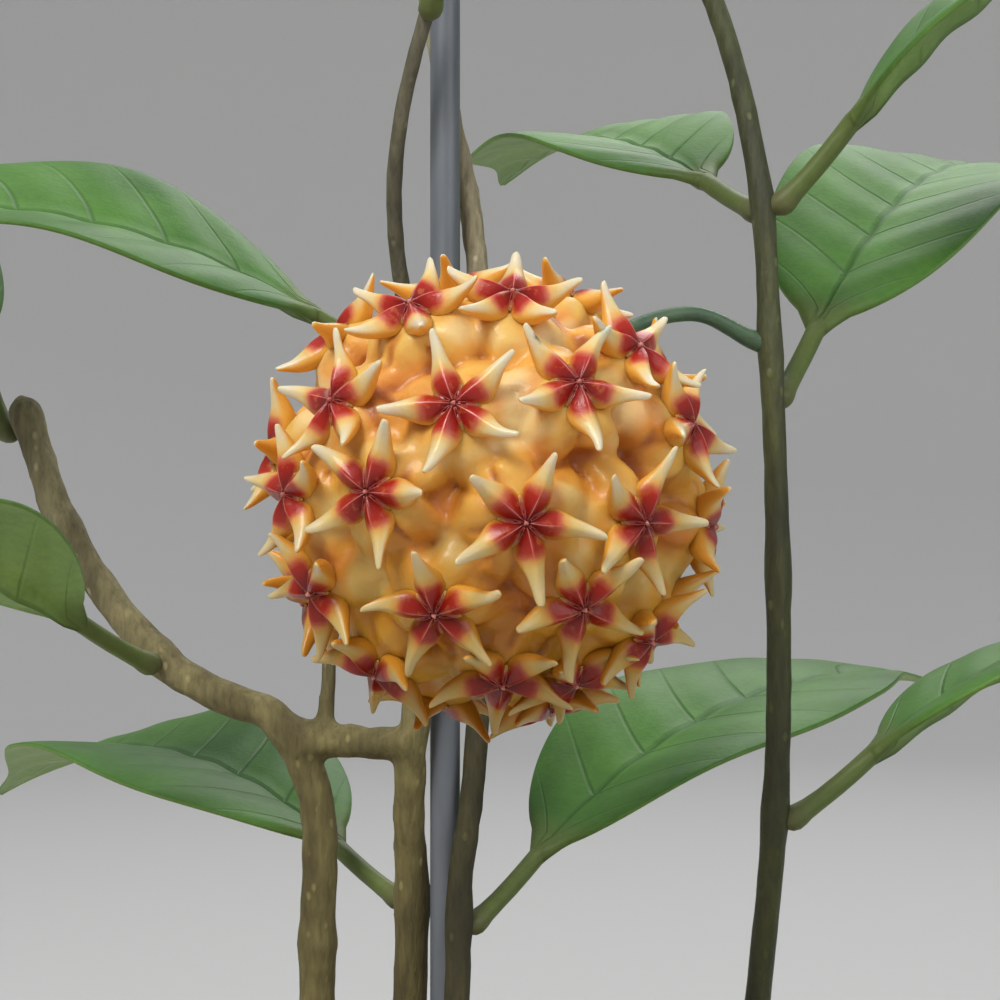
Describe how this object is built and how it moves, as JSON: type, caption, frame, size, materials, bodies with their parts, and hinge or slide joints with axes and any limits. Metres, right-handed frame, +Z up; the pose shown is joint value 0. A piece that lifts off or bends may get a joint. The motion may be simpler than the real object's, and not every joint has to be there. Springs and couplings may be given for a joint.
{
  "type": "potted hoya",
  "caption": "Climbing hoya in a plain clay pot: stems twine round a stake, with waxy leaves and a round umbel of star flowers on a curved stalk.",
  "frame": {"origin": "Middle of the pot's flat underside.", "axes": "+Z is up, along the stake. -Y is towards the camera of the picture, and +X is to its right."},
  "size_m": [0.2617, 0.1536, 0.341],
  "materials": {
    "clay": "unglazed fired clay, matt and a little dusty",
    "soil": "loose bark mix, matt",
    "stake": "smooth grey-blue rod, satin",
    "old_bark": "pale brown woody bark, matt",
    "second_bark": "brown bark, matt",
    "young_bark": "olive-brown young stem, satin",
    "peduncle": "dark green stalk, satin",
    "flower": "waxy orange corollas, each with a star that is crimson in the middle and cream at its tips",
    "leaf": "thick waxy leaf, satin"
  },
  "bodies": {
    "root": {"pot": "clay", "soil": "soil", "stake": "stake", "old_stem": "old_bark", "second_stem": "second_bark", "young_stem": "young_bark", "peduncle": "peduncle", "umbel": "flower", "leaf_01": "leaf", "leaf_02": "leaf", "leaf_03": "leaf", "leaf_04": "leaf", "leaf_05": "leaf", "leaf_06": "leaf", "leaf_07": "leaf", "leaf_08": "leaf", "leaf_09": "leaf", "leaf_10": "leaf", "leaf_11": "leaf", "leaf_12": "leaf", "leaf_13": "leaf"}
  },
  "joints": []
}
